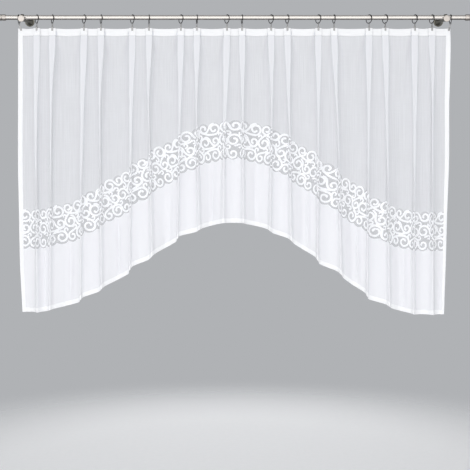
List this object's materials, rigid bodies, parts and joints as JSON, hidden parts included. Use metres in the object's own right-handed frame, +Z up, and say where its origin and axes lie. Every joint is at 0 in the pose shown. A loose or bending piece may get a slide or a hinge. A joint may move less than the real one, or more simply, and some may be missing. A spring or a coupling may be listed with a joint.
{
  "type": "jacquard curtain on a curtain rod",
  "caption": "Short sheer curtain with an arched hem and a scroll band above a dense border, box pleated and hung from ring clips on a bracketed rod.",
  "frame": {"origin": "on the wall plane, midway between the two brackets, at the height of the rod's axis", "axes": "+X to the right along the rod as seen from the room, +Y from the curtain into the wall, +Z up"},
  "size_m": [2.0204, 0.1456, 1.282],
  "materials": {
    "voile": "sheer knitted polyester, matt, with a denser satin border",
    "heading_tape": "woven polyester tape",
    "rod_steel": "satin nickel plated tube",
    "bracket_steel": "satin nickel plated casting",
    "ring_steel": "plated wire",
    "clip_steel": "plated spring strip"
  },
  "bodies": {
    "root": {"bracket_cap_left": "bracket_steel", "bracket_cap_right": "bracket_steel", "bracket_left": "bracket_steel", "bracket_right": "bracket_steel", "clip_01": "clip_steel", "clip_02": "clip_steel", "clip_03": "clip_steel", "clip_04": "clip_steel", "clip_05": "clip_steel", "clip_06": "clip_steel", "clip_07": "clip_steel", "clip_08": "clip_steel", "clip_09": "clip_steel", "clip_10": "clip_steel", "clip_11": "clip_steel", "clip_12": "clip_steel", "clip_13": "clip_steel", "clip_14": "clip_steel", "clip_15": "clip_steel", "clip_16": "clip_steel", "clip_17": "clip_steel", "clip_18": "clip_steel", "clip_19": "clip_steel", "clip_20": "clip_steel", "curtain": "voile", "finial_left": "rod_steel", "finial_right": "rod_steel", "heading_tape": "heading_tape", "ring_01": "ring_steel", "ring_02": "ring_steel", "ring_03": "ring_steel", "ring_04": "ring_steel", "ring_05": "ring_steel", "ring_06": "ring_steel", "ring_07": "ring_steel", "ring_08": "ring_steel", "ring_09": "ring_steel", "ring_10": "ring_steel", "ring_11": "ring_steel", "ring_12": "ring_steel", "ring_13": "ring_steel", "ring_14": "ring_steel", "ring_15": "ring_steel", "ring_16": "ring_steel", "ring_17": "ring_steel", "ring_18": "ring_steel", "ring_19": "ring_steel", "ring_20": "ring_steel", "rod": "rod_steel"}
  },
  "joints": []
}
